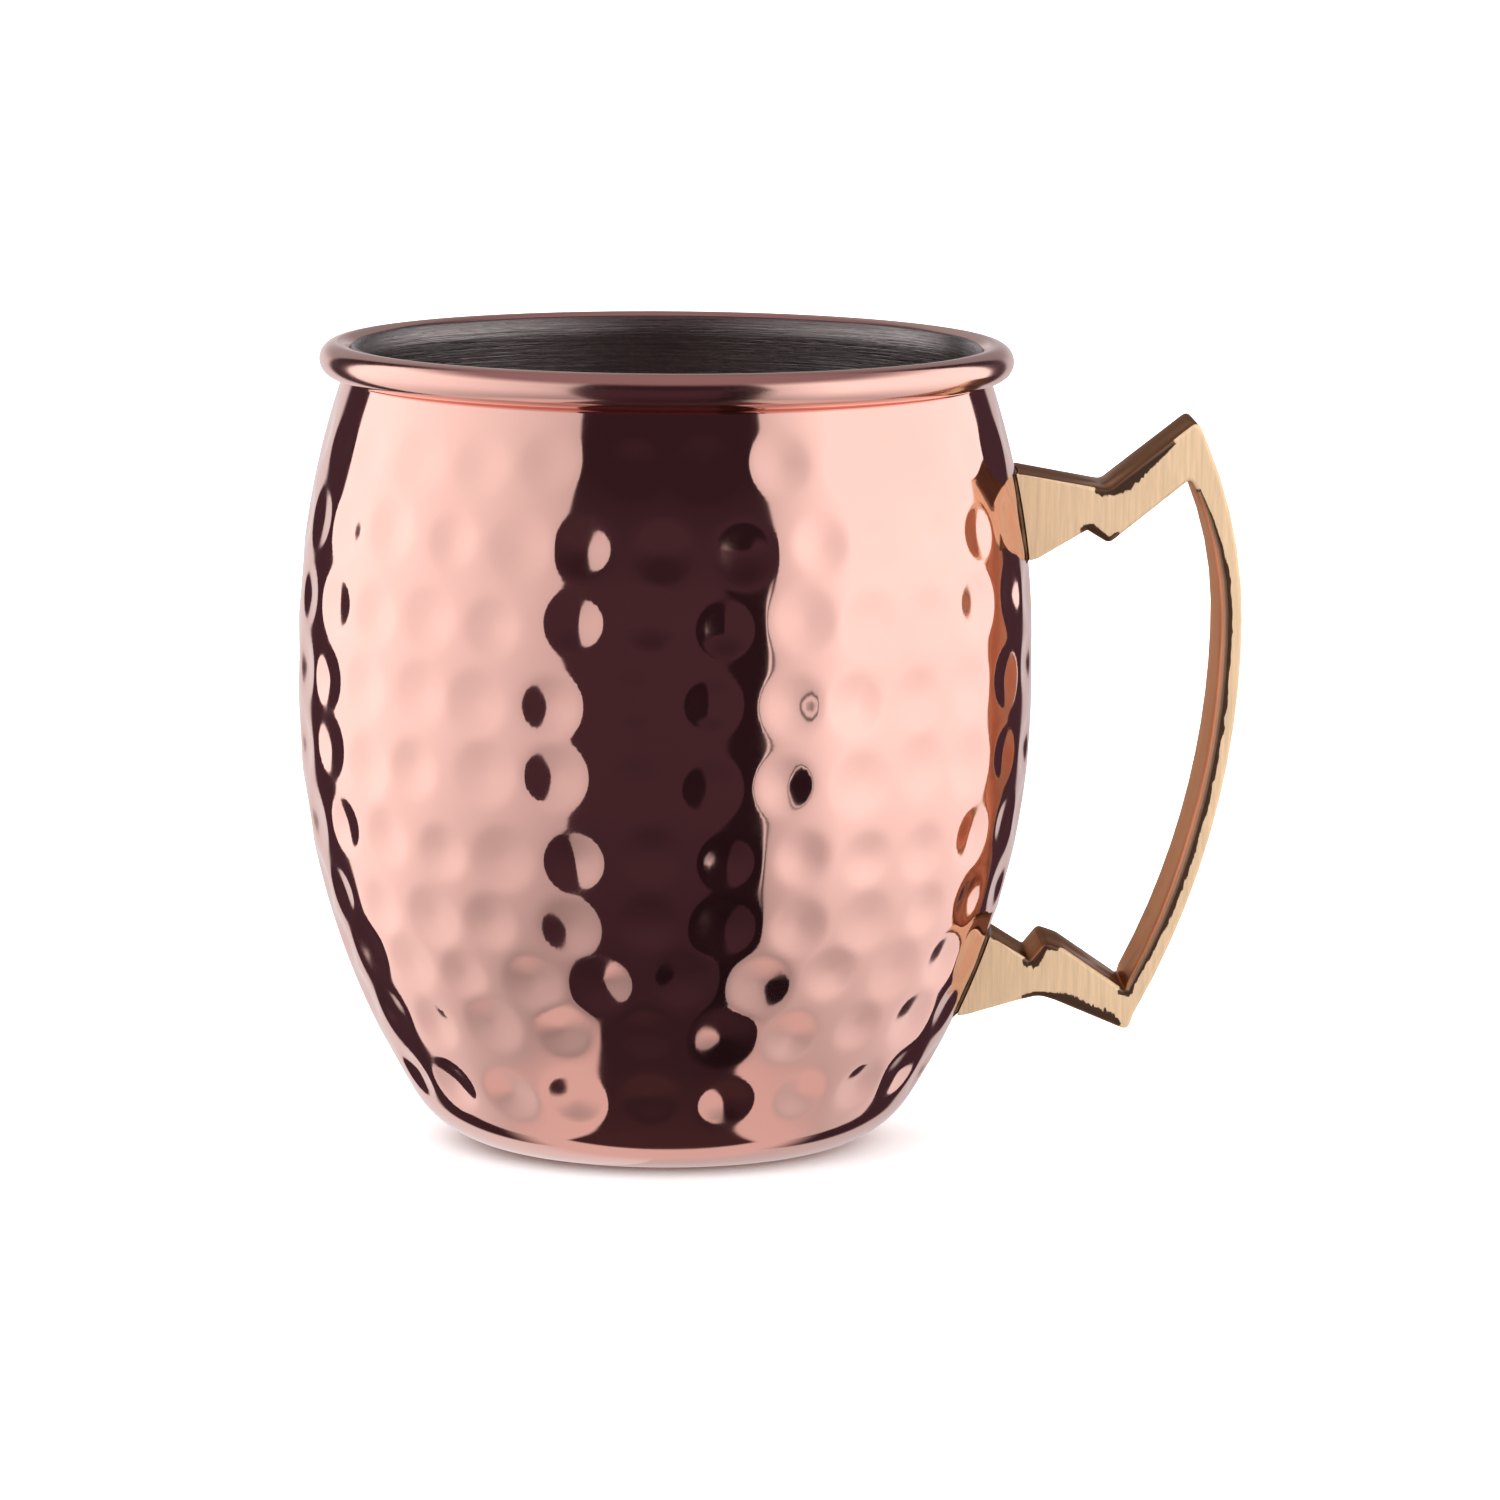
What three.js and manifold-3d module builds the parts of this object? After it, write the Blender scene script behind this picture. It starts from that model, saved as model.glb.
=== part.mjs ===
// Hammered copper mug with a spun steel liner and a cast brass zigzag handle.
// Millimetres, +Z up. The origin is on the mug's axis, on the surface it stands on.
// The handle reaches out along +X.
import * as THREE from 'three';
import Module from 'manifold-3d';
import { mergeVertices } from 'three/addons/utils/BufferGeometryUtils.js';

// Body of the mug: a barrel drawn from one copper sheet.
const HEIGHT = 96.5;
const BELLY_RADIUS = 44;
const BELLY_LOW = 54.5;            // height where the lower side arc starts
const BELLY_HIGH = 60.5;           // height where the upper side arc starts
const LOWER_SIDE_RADIUS = 91;      // radius of the side arc below the belly
const UPPER_SIDE_RADIUS = 99;      // radius of the side arc above the belly
const FOOT_RADIUS = 19;            // flat disc that the mug stands on
const SHELL_SHEET = 0.8;

// Rolled rim: the sheet curls outward, over and back down to the wall.
const CURL_RADIUS = 2.1;
const CURL_END = -95;              // degrees, where the sheet's edge stops short of the wall

// Steel liner inside the copper.
const LINER_SHEET = 0.5;
const LINER_LIP_END = 150;         // degrees round the curl, where the liner's lip stops
const FIT_GAP = 0.3;               // clearance between pieces that touch

// Handle: a flat zigzag casting, the same width all the way round.
const HANDLE_WIDTH = 13.6;
const HANDLE_EDGE = 0.5;           // chamfer on its front and back edges
const BOW_REACH = 68.8;            // farthest point of the bow from the axis
const BOW_HEIGHT = 63.5;           // height of that point
const BOW_THICKNESS = 2.6;
const BOW_OUTER_UPPER = 55;        // bow radii, above and below its farthest point
const BOW_OUTER_LOWER = 97;
const BOW_INNER_UPPER = 42;
const BOW_INNER_LOWER = BOW_OUTER_LOWER - BOW_THICKNESS;
const BOW_INNER_TOP = 80.6;        // heights where the inside of the bow meets the arms
const BOW_INNER_BOTTOM = 19.1;
const PEAK_HEIGHT = 87.6;
const BACK_TOP = 86.4;             // heights between which the bow's back is a pair of arcs
const BACK_BOTTOM = 14.9;
const TIP_HEIGHT = 14;

// Brazed joints that hold the handle's two feet.
const BRAZE_THICKNESS = 0.4;
const BRAZE_INSET = 0.8;           // how far the braze stops inside the foot's edge
const UPPER_FOOT = { low: 70.8, high: 81.2 };
const LOWER_FOOT = { low: 15.9, high: 25.4 };

// Facets.
const SIDES = 60;
const SIDE_STEPS = 5;
const CORNER_STEPS = 4;
const CURL_STEPS = 10;
const LIP_STEPS = 3;
const BOW_STEPS = 7;
const MERGE_DISTANCE = 1e-4;

const wasm = await Module();
wasm.setup();

const radians = THREE.MathUtils.degToRad;
const point = (x, z) => new THREE.Vector2(x, z);

// Points on an arc in the plane of radius and height, both ends included.
function arc(centre, radius, fromDegrees, toDegrees, steps) {
  const points = [];
  for (let i = 0; i <= steps; i += 1) {
    const angle = radians(fromDegrees + ((toDegrees - fromDegrees) * i) / steps);
    points.push(point(centre.x + radius * Math.cos(angle), centre.y + radius * Math.sin(angle)));
  }
  return points;
}

const lowerSide = point(BELLY_RADIUS - LOWER_SIDE_RADIUS, BELLY_LOW);
const upperSide = point(BELLY_RADIUS - UPPER_SIDE_RADIUS, BELLY_HIGH);

// The bottom corner is the arc that is tangent to the foot disc and to the lower side.
function bottomCorner() {
  const across = FOOT_RADIUS - lowerSide.x;
  const slack = LOWER_SIDE_RADIUS ** 2 - BELLY_LOW ** 2 - across ** 2;
  const radius = slack / (2 * (LOWER_SIDE_RADIUS - BELLY_LOW));
  const centre = point(FOOT_RADIUS, radius);
  const tangent = THREE.MathUtils.radToDeg(Math.atan2(radius - BELLY_LOW, across));
  return { centre, radius, tangent };
}

// The curl's centre stands where its circle is tangent to the inner face of the wall.
function rimCurl() {
  const height = HEIGHT - CURL_RADIUS;
  const reach = UPPER_SIDE_RADIUS - SHELL_SHEET + CURL_RADIUS;
  const rise = height - BELLY_HIGH;
  const centre = point(upperSide.x + Math.sqrt(reach ** 2 - rise ** 2), height);
  const tangent = THREE.MathUtils.radToDeg(Math.asin(rise / reach));
  return { centre, tangent };
}

const corner = bottomCorner();
const curl = rimCurl();

// The wall's line at a distance inside the copper's outer face, from the axis up to the curl.
function wallLine(inset) {
  return [
    point(0, inset),
    ...arc(corner.centre, corner.radius - inset, -90, corner.tangent, CORNER_STEPS),
    ...arc(lowerSide, LOWER_SIDE_RADIUS - inset, corner.tangent, 0, SIDE_STEPS).slice(1),
    ...arc(upperSide, UPPER_SIDE_RADIUS - inset, 0, curl.tangent, SIDE_STEPS),
  ];
}

function lathe(profile) {
  const geometry = new THREE.LatheGeometry(profile, SIDES);
  geometry.rotateX(Math.PI / 2);
  return geometry;
}

function material(color, roughness) {
  return new THREE.MeshStandardMaterial({ color, roughness, metalness: 1 });
}

const copper = () => material(0xd98f7c, 0.14);
const steel = () => material(0x8f8a88, 0.35);
const castBrass = () => material(0xc9a671, 0.3);
const brazeMetal = () => material(0x6b4a33, 0.45);

function copperShell() {
  const start = 180 + curl.tangent;
  const curlInside = CURL_RADIUS - SHELL_SHEET;
  const profile = [
    ...wallLine(0).slice(0, -1),
    ...arc(curl.centre, curlInside, start, CURL_END, CURL_STEPS),
    ...arc(curl.centre, CURL_RADIUS, CURL_END, start, CURL_STEPS),
    ...wallLine(SHELL_SHEET).slice(0, -1).reverse(),
  ];
  return new THREE.Mesh(lathe(profile), copper());
}

function steelLiner() {
  const start = 180 + curl.tangent;
  const outside = SHELL_SHEET + FIT_GAP;
  const inside = outside + LINER_SHEET;
  const profile = [
    ...wallLine(outside).slice(0, -1),
    ...arc(curl.centre, CURL_RADIUS + FIT_GAP, start, LINER_LIP_END, LIP_STEPS),
    ...arc(curl.centre, CURL_RADIUS + FIT_GAP + LINER_SHEET, LINER_LIP_END, start, LIP_STEPS),
    ...wallLine(inside).slice(0, -1).reverse(),
  ];
  return new THREE.Mesh(lathe(profile), steel());
}

// Height range of a bow arc, turned into the angles that it spans about its centre.
function bowArc(reach, radius, fromHeight, toHeight, steps) {
  const centre = point(reach - radius, BOW_HEIGHT);
  const angle = (height) => THREE.MathUtils.radToDeg(Math.asin((height - BOW_HEIGHT) / radius));
  return arc(centre, radius, angle(fromHeight), angle(toHeight), steps);
}

// The side view of the handle, anticlockwise. Both arms run on into the wall,
// where they are cut to the wall's curve.
function handleOutline() {
  const innerReach = BOW_REACH - BOW_THICKNESS;
  const outer = [
    ...bowArc(BOW_REACH, BOW_OUTER_LOWER, BACK_BOTTOM, BOW_HEIGHT, BOW_STEPS),
    ...bowArc(BOW_REACH, BOW_OUTER_UPPER, BOW_HEIGHT, BACK_TOP, BOW_STEPS).slice(1),
  ];
  const inner = [
    ...bowArc(innerReach, BOW_INNER_UPPER, BOW_INNER_TOP, BOW_HEIGHT, BOW_STEPS),
    ...bowArc(innerReach, BOW_INNER_LOWER, BOW_HEIGHT, BOW_INNER_BOTTOM, BOW_STEPS).slice(1),
  ];
  const upperTop = [
    point(63.1, PEAK_HEIGHT),
    point(62.4, PEAK_HEIGHT - 0.2),
    point(53.6, 79.9),
    point(52.2, 79.5),
    point(36, 82.4),
  ];
  const upperUnder = [
    point(36, 66.6),
    point(50.1, 74.6),
    point(52.5, 73.2),
    point(53.6, 73.5),
  ];
  const lowerTop = [
    point(47.8, 23.9),
    point(46.4, 24.5),
    point(45.3, 24.1),
    point(43.9, 22.7),
    point(34, 28.7),
  ];
  const lowerUnder = [
    point(30, 14.3),
    point(42.6, 17.7),
    point(44.8, 18.2),
    point(46.4, 18.1),
    point(55.6, TIP_HEIGHT),
  ];
  return [...outer, ...upperTop, ...upperUnder, ...inner, ...lowerTop, ...lowerUnder];
}

function toManifold(geometry) {
  const bare = geometry.clone();
  bare.deleteAttribute('normal');
  bare.deleteAttribute('uv');
  const merged = mergeVertices(bare, MERGE_DISTANCE);
  const vertProperties = new Float32Array(merged.attributes.position.array);
  const triVerts = new Uint32Array(merged.index.array);
  return new wasm.Manifold(new wasm.Mesh({ numProp: 3, vertProperties, triVerts }));
}

function fromManifold(solid) {
  const mesh = solid.getMesh();
  const geometry = new THREE.BufferGeometry();
  geometry.setAttribute('position', new THREE.BufferAttribute(mesh.vertProperties, 3));
  geometry.setIndex(new THREE.BufferAttribute(mesh.triVerts, 1));
  geometry.computeVertexNormals();
  return geometry;
}

// The barrel as a full solid, grown by a distance, for fitting pieces to the wall.
function barrel(growth) {
  const line = wallLine(-growth);
  const top = line[line.length - 1].y;
  return toManifold(lathe([...line, point(0, top)]));
}

function brassHandle() {
  const geometry = new THREE.ExtrudeGeometry(new THREE.Shape(handleOutline()), {
    depth: HANDLE_WIDTH - 2 * HANDLE_EDGE,
    bevelEnabled: true,
    bevelThickness: HANDLE_EDGE,
    bevelSize: HANDLE_EDGE,
    bevelOffset: -HANDLE_EDGE,
    bevelSegments: 1,
  });
  geometry.translate(0, 0, HANDLE_EDGE - HANDLE_WIDTH / 2);
  geometry.rotateX(Math.PI / 2);
  const wallRoom = 2 * FIT_GAP + BRAZE_THICKNESS;
  const solid = toManifold(geometry).subtract(barrel(wallRoom));
  return new THREE.Mesh(fromManifold(solid), castBrass());
}

// A thin skin of braze on the wall, behind one foot of the handle.
function brazeJoint(foot) {
  const height = foot.high - foot.low - 2 * BRAZE_INSET;
  const width = HANDLE_WIDTH - 2 * BRAZE_INSET;
  const block = new THREE.BoxGeometry(BELLY_RADIUS, width, height);
  block.translate(BELLY_RADIUS, 0, (foot.low + foot.high) / 2);
  const outside = toManifold(block).intersect(barrel(FIT_GAP + BRAZE_THICKNESS));
  const solid = outside.subtract(barrel(FIT_GAP));
  return new THREE.Mesh(fromManifold(solid), brazeMetal());
}

const mug = new THREE.Group();
const pieces = {
  copper_shell: copperShell(),
  steel_liner: steelLiner(),
  brass_handle: brassHandle(),
  upper_braze_joint: brazeJoint(UPPER_FOOT),
  lower_braze_joint: brazeJoint(LOWER_FOOT),
};
for (const [name, piece] of Object.entries(pieces)) {
  piece.name = name;
  mug.add(piece);
}

export default mug;
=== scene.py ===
"""Hammered copper mug: the looks of its shell, liner, handle and brazed joints, and a soft studio.

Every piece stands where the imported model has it. Lengths are in metres and +Z is up.
The mug's axis is the Z axis, and the handle reaches out along +X.
"""

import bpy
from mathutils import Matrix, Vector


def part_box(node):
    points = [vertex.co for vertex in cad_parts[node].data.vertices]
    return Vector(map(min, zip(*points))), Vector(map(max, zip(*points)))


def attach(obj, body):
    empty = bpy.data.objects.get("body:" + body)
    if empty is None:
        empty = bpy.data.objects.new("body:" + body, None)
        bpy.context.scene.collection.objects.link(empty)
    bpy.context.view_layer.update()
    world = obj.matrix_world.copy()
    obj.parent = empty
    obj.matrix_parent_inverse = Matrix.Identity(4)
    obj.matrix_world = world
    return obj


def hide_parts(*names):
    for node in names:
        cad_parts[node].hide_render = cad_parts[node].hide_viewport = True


bl_info = {
    "name": "Hammered Copper Mug",
    "version": (1, 0, 0),
    "blender": (4, 5, 0),
    "location": "View3D > Sidebar > Mug",
    "description": "Makes a hammered copper mug with a steel liner and a zigzag brass handle",
    "category": "Add Mesh",
}

import math
import random

import bmesh
import bpy
import numpy as np
from bpy.props import FloatProperty, FloatVectorProperty, IntProperty, PointerProperty
from mathutils import Matrix, Vector
from mathutils.geometry import delaunay_2d_cdt

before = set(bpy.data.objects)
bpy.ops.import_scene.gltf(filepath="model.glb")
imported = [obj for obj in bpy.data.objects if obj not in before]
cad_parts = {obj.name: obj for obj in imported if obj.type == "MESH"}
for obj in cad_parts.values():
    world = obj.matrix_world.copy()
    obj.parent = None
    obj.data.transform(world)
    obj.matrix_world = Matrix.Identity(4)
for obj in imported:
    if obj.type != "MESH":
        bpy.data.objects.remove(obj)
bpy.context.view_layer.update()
MM = 0.001
SHELL_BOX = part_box("copper_shell")
HANDLE_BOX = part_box("brass_handle")
HANDLE_WIDTH = HANDLE_BOX[1].y - HANDLE_BOX[0].y


# ---------------------------------------------------------------- settings


def length(name, description, millimetres):
    return FloatProperty(name=name, description=description, default=millimetres * MM, unit="LENGTH")


def angle(name, description, degrees):
    return FloatProperty(
        name=name, description=description, default=math.radians(degrees), unit="ROTATION"
    )


def colour(name, description, rgb):
    return FloatVectorProperty(
        name=name, description=description, default=rgb, size=3, min=0, max=1, subtype="COLOR"
    )


class MugBodySettings(bpy.types.PropertyGroup):
    """The barrel's outline, its rolled rim and its liner."""

    height: length("Height", "From the table to the top of the rim", SHELL_BOX[1].z / MM)
    belly: length("Belly radius", "Largest radius of the copper", SHELL_BOX[1].y / MM)
    belly_low: length("Belly, low", "Height where the lower side arc starts", 54.5)
    belly_high: length("Belly, high", "Height where the upper side arc starts", 60.5)
    lower_side: length("Lower side arc", "Radius of the side arc below the belly", 91)
    upper_side: length("Upper side arc", "Radius of the side arc above the belly", 99)
    foot: length("Foot radius", "Radius of the flat disc under the mug", 19)
    sheet: length("Copper sheet", "Thickness of the copper", 0.8)
    curl: length("Curl radius", "Radius of the rolled rim", 2.1)
    curl_end: angle("Curl end", "Where the sheet's edge stops under the rim", -95)
    liner_sheet: length("Liner sheet", "Thickness of the steel liner", 0.5)
    liner_lip: angle("Liner lip", "Where the liner's lip stops on the curl", 139)


class MugDimpleSettings(bpy.types.PropertyGroup):
    """The marks that the hammer left in the copper."""

    radius: length("Radius", "Radius of a hammer mark", 3.7)
    depth: length("Depth", "Depth of a full hammer mark", 0.5)
    pitch: length("Pitch", "Distance between the marks of a row", 9.1)
    wander: length("Wander", "How far a mark strays from its place in the row", 0.7)
    seed: IntProperty(name="Seed", description="Picks another set of blows", default=7)


class MugHandleSettings(bpy.types.PropertyGroup):
    """The casting's size. The bow's radii are taken about its farthest point."""

    width: length("Width", "Width of the handle, front to back", HANDLE_WIDTH / MM)
    reach: length("Reach", "Farthest point of the bow from the axis", HANDLE_BOX[1].x / MM)
    reach_height: length("Reach height", "Height of the bow's farthest point", 63.5)
    bow: length("Bow thickness", "Thickness of the bow, seen from the side", 2.6)
    outer_upper: length("Outer radius, upper", "Radius of the bow's back above its farthest point", 55)
    outer_lower: length("Outer radius, lower", "Radius of the bow's back below it", 97)
    inner_upper: length("Inner radius, upper", "Radius of the bow's inside above it", 42)
    edge: length("Edge", "Width of the rounded edges", 0.5)
    bow_skin: length("Bow skin", "Width beside the bow's inner edge that isn't linished", 0.75)
    foot_gap: length("Foot gap", "Braze thickness between the feet and the copper", 0.3)


class MugFinishSettings(bpy.types.PropertyGroup):
    """The metals' colours."""

    copper: colour("Copper", "Polished copper", (0.93, 0.555, 0.48))
    steel: colour("Steel", "Brushed steel of the liner", (0.65, 0.575, 0.57))
    brass: colour("Brass", "Linished cast brass", (0.88, 0.65, 0.42))
    tarnish: colour("Casting skin", "Brass that the belt didn't reach", (0.34, 0.22, 0.14))
    # Painted reflection: the bright orange that the cast sides facing the mug take for the copper they
    # mirror, where the other cast sides keep the casting skin.
    painted_copper_reflection: colour("Inner brass", "Cast brass on the sides that face the mug", (0.95, 0.62, 0.38))
    grazing: colour("Grazing tint", "What brass takes from grazing light", (0.60, 0.38, 0.28))
    braze: colour("Braze", "Brazing alloy round the handle's feet", (0.20, 0.11, 0.06))
    floor: colour("Floor", "Studio floor", (0.95, 0.95, 0.95))


class MugStudioSettings(bpy.types.PropertyGroup):
    """The camera and the light round the mug."""

    distance: length("Distance", "From the mug's axis to the camera, over the floor", 1013.8)
    eye_height: length("Eye height", "Height of the camera over the floor", 193.3)
    swing: angle("Swing", "How far the camera stands round from straight in front", 2.0)
    pan: angle("Pan", "How far the camera is turned off the mug's axis", 0.58)
    tilt: angle("Tilt", "How far the camera looks down", 8.2)
    roll: angle("Roll", "Lean of the camera", 0.39)
    lens: FloatProperty(name="Lens", description="Focal length", default=204.4, unit="CAMERA")
    softbox: FloatProperty(name="Softboxes", description="Brightness of the diffusers", default=1.0)
    overhead: FloatProperty(name="Overhead", description="Strength of the light from above", default=6.5)
    front: FloatProperty(name="Front", description="Strength of the light from the front", default=1.15)


SETTINGS = {
    "mug_body": MugBodySettings,
    "mug_dimples": MugDimpleSettings,
    "mug_handle": MugHandleSettings,
    "mug_finish": MugFinishSettings,
    "mug_studio": MugStudioSettings,
}


# ---------------------------------------------------------------- the barrel's curve


class Barrel:
    """The outline of the copper's outer face, made of three arcs and the rim's curl."""

    def __init__(self, body):
        self.body = body
        self.low = Vector((body.belly - body.lower_side, body.belly_low))
        self.high = Vector((body.belly - body.upper_side, body.belly_high))
        across = body.foot - self.low.x
        slack = body.lower_side**2 - body.belly_low**2 - across**2
        self.corner_radius = slack / (2 * (body.lower_side - body.belly_low))
        self.corner = Vector((body.foot, self.corner_radius))
        self.corner_end = math.atan2(self.corner_radius - body.belly_low, across)
        self.corner_top = self.corner_radius + self.corner_radius * math.sin(self.corner_end)
        curl_height = body.height - body.curl
        reach = body.upper_side - body.sheet + body.curl
        rise = curl_height - body.belly_high
        self.curl = Vector((self.high.x + math.sqrt(reach**2 - rise**2), curl_height))
        self.neck = math.asin(rise / reach)

    def radius_at(self, z):
        """Radius of the outer face at height z, below the rim."""
        body = self.body
        if z > body.belly_high:
            return self.high.x + math.sqrt(body.upper_side**2 - (z - body.belly_high) ** 2)
        if z > body.belly_low:
            return body.belly
        if z > self.corner_top:
            return self.low.x + math.sqrt(body.lower_side**2 - (z - body.belly_low) ** 2)
        drop = self.corner_radius - z
        return body.foot + math.sqrt(max(self.corner_radius**2 - drop**2, 0))

    def wall(self, inset, step):
        """Points from the foot disc's edge up to the curl, inset from the outer face."""
        body = self.body
        corner = arc(self.corner, self.corner_radius - inset, -math.pi / 2, self.corner_end, step)
        lower = arc(self.low, body.lower_side - inset, self.corner_end, 0, step)
        upper = arc(self.high, body.upper_side - inset, 0, self.neck, step)
        count = max(1, round((body.belly_high - body.belly_low) / step))
        straight = [lower[-1].lerp(upper[0], i / count) for i in range(1, count)]
        return [*corner, *lower[1:], *straight, *upper]

    def roll(self, distance, start, end, step):
        """Points round the curl at a distance from its middle."""
        return arc(self.curl, distance, start, end, step)


def arc(centre, radius, start, end, step):
    """Points along an arc, about a step apart, both ends included."""
    count = max(2, math.ceil(abs(end - start) * radius / step))
    angles = [start + (end - start) * i / count for i in range(count + 1)]
    return [centre + radius * Vector((math.cos(a), math.sin(a))) for a in angles]


# ---------------------------------------------------------------- meshes


def spin(name, profile, columns, push=None):
    """A closed body of revolution. The profile starts and ends on the axis.

    push is a grid of distances, one row for each point of the profile, that the surface
    is pushed in along its normal."""
    points = np.array([tuple(p) for p in profile])
    tangents = np.gradient(points, axis=0)
    tangents /= np.linalg.norm(tangents, axis=1)[:, None]
    radii = np.repeat(points[:, :1], columns, axis=1)
    heights = np.repeat(points[:, 1:], columns, axis=1)
    if push is not None:
        radii = radii - push * tangents[:, 1:]
        heights = heights + push * tangents[:, :1]
    turn = np.arange(columns) * 2 * math.pi / columns
    grid = np.stack([radii * np.cos(turn), radii * np.sin(turn), heights], axis=-1)
    body = bmesh.new()
    first = body.verts.new((0, 0, points[0, 1]))
    rings = [[body.verts.new(place) for place in ring] for ring in grid[1:-1]]
    last = body.verts.new((0, 0, points[-1, 1]))
    for j in range(columns):
        k = (j + 1) % columns
        body.faces.new((first, rings[0][k], rings[0][j]))
        body.faces.new((last, rings[-1][j], rings[-1][k]))
    for low, high in zip(rings, rings[1:]):
        for j in range(columns):
            k = (j + 1) % columns
            body.faces.new((low[j], low[k], high[k], high[j]))
    return finished_mesh(name, body)


def finished_mesh(name, body, sharp_angle=None):
    """Turns a bmesh into an object with smooth shading, and sharp edges over an angle."""
    bmesh.ops.recalc_face_normals(body, faces=body.faces)
    for face in body.faces:
        face.smooth = True
    if sharp_angle:
        for edge in body.edges:
            edge.smooth = edge.calc_face_angle(0) < sharp_angle
    mesh = bpy.data.meshes.new(name)
    body.to_mesh(mesh)
    body.free()
    piece = bpy.data.objects.new(name, mesh)
    bpy.context.scene.collection.objects.link(piece)
    return piece


def place(piece, node, slot, material):
    """Gives a piece its material and its place in the model."""
    piece.data.materials.append(material)
    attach(piece, "root")
    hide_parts(node)


# The rows of hammer marks, lowest first: distance from the foot disc's edge, up the sheet, in
# millimetres, where the row starts in degrees round from straight in front, and the share of the
# full depth that its marks have.
ROWS = (
    (18.2, -20, 1.2),
    (27.2, -6, 1),
    (34.6, -12, 1),
    (41.8, -18, 1),
    (50.0, -16, 1),
    (59.2, -19, 1),
    (68.4, -19, 1),
    (77.3, -16.5, 1),
    (86.0, -14, 0.9),
    (95.6, -8, 0.6),
)


# Where marks overlap, their depths are added up at this power, which keeps nearly the deeper one.
OVERLAP_POWER = 4
MARK_REACH = 2.2  # how far a mark is felt, in its own radii


def hammer_marks(profile, columns, foot, dimples):
    """How deep the hammer has pushed each point of the wall in."""
    points = np.array([tuple(p) for p in profile])
    steps = np.linalg.norm(np.diff(points, axis=0), axis=1)
    along = np.concatenate([[0], np.cumsum(steps)]) - foot
    turn = np.arange(columns) * 2 * math.pi / columns
    total = np.zeros((len(points), columns))
    chance = random.Random(dimples.seed)
    for distance, start, share in ROWS:
        row = distance * MM
        radius = np.interp(row, along, points[:, 0])
        count = round(2 * math.pi * radius / dimples.pitch)
        for i in range(count):
            place_along = row + chance.uniform(-1, 1) * dimples.wander
            stray = chance.uniform(-1, 1) * dimples.wander / radius
            place_round = math.radians(start - 90) + i * 2 * math.pi / count + stray
            size = dimples.radius * chance.uniform(0.9, 1.12)
            depth = dimples.depth * share * chance.uniform(0.8, 1.1)
            rows = np.abs(along - place_along) < MARK_REACH * size
            away = (turn - place_round + math.pi) % (2 * math.pi) - math.pi
            across = points[rows, :1] * away[None, :]
            up = along[rows, None] - place_along
            total[rows] += (depth * blow((across**2 + up**2) / size**2)) ** OVERLAP_POWER
    return total ** (1 / OVERLAP_POWER)


def blow(square):
    """A hammer mark's shape from the square of the distance over its radius: a bowl that is
    steeper than a sphere near its middle, with a rounded rim and a faint dip around it."""
    fullness, rim_softness = 0.72, 0.09
    dip_share, dip_narrowness = 0.12, 0.9
    bowl = 1 - square**fullness
    cap = (bowl + np.sqrt(bowl**2 + rim_softness**2)) / 2
    return (1 - dip_share) * cap + dip_share * np.exp(-square * dip_narrowness)


# ---------------------------------------------------------------- operators


class MUG_OT_copper_shell(bpy.types.Operator):
    """Make the hammered copper body with its rolled rim"""

    bl_idname = "mug.copper_shell"
    bl_label = "Copper shell"

    def execute(self, context):
        scene = context.scene
        body = scene.mug_body
        barrel = Barrel(body)
        columns = 432
        fine, coarse = 0.67 * MM, 6 * MM
        slot_step, curl_step = 0.5 * MM, 0.35 * MM
        start = math.pi + barrel.neck
        outside = barrel.wall(0, fine)
        slot_inside = barrel.roll(body.curl - body.sheet, start, body.curl_end, slot_step)
        curl_outside = barrel.roll(body.curl, body.curl_end, start, curl_step)
        inside = barrel.wall(body.sheet, coarse)
        disc = [Vector((0, 0)), Vector((body.foot / 2, 0))]
        floor = [Vector((body.foot / 2, body.sheet)), Vector((0, body.sheet))]
        marked = disc + outside
        profile = marked[:-1] + slot_inside + curl_outside + inside[:-1][::-1] + floor
        push = np.zeros((len(profile), columns))
        marks = hammer_marks(marked, columns, body.foot, scene.mug_dimples)
        push[: len(marked) - 1] = marks[:-1]
        shell = spin("hammered_copper_shell", profile, columns, push)
        place(shell, "copper_shell", "hammered_copper", copper_finish(scene.mug_finish))
        return {"FINISHED"}


class MUG_OT_steel_liner(bpy.types.Operator):
    """Make the brushed steel liner, whose lip ends on the rim"""

    bl_idname = "mug.steel_liner"
    bl_label = "Steel liner"

    def execute(self, context):
        scene = context.scene
        body = scene.mug_body
        barrel = Barrel(body)
        columns = 288
        fine, coarse, lip_step = 1.5 * MM, 6 * MM, 0.3 * MM
        seat = 0.03 * MM
        outset = body.sheet + seat
        inset = outset + body.liner_sheet
        start = math.pi + barrel.neck
        near, far = body.curl + seat, body.curl + seat + body.liner_sheet
        lip_outside = barrel.roll(near, start, body.liner_lip, lip_step)
        lip_inside = barrel.roll(far, body.liner_lip, start, lip_step)
        disc = [Vector((0, outset)), Vector((body.foot / 2, outset))]
        floor = [Vector((body.foot / 2, inset)), Vector((0, inset))]
        outside = barrel.wall(outset, coarse)
        inside = barrel.wall(inset, fine)
        profile = disc + outside[:-1] + lip_outside + lip_inside + inside[:-1][::-1] + floor
        liner = spin("brushed_steel_liner", profile, columns)
        place(liner, "steel_liner", "brushed_liner_steel", steel_finish(scene.mug_finish))
        return {"FINISHED"}


DEGREES_A_PIECE = 9  # how finely a corner's bend is divided
LONGEST_BEND = 0.45  # how much of a side a corner's bend may take up, as a share


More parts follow.
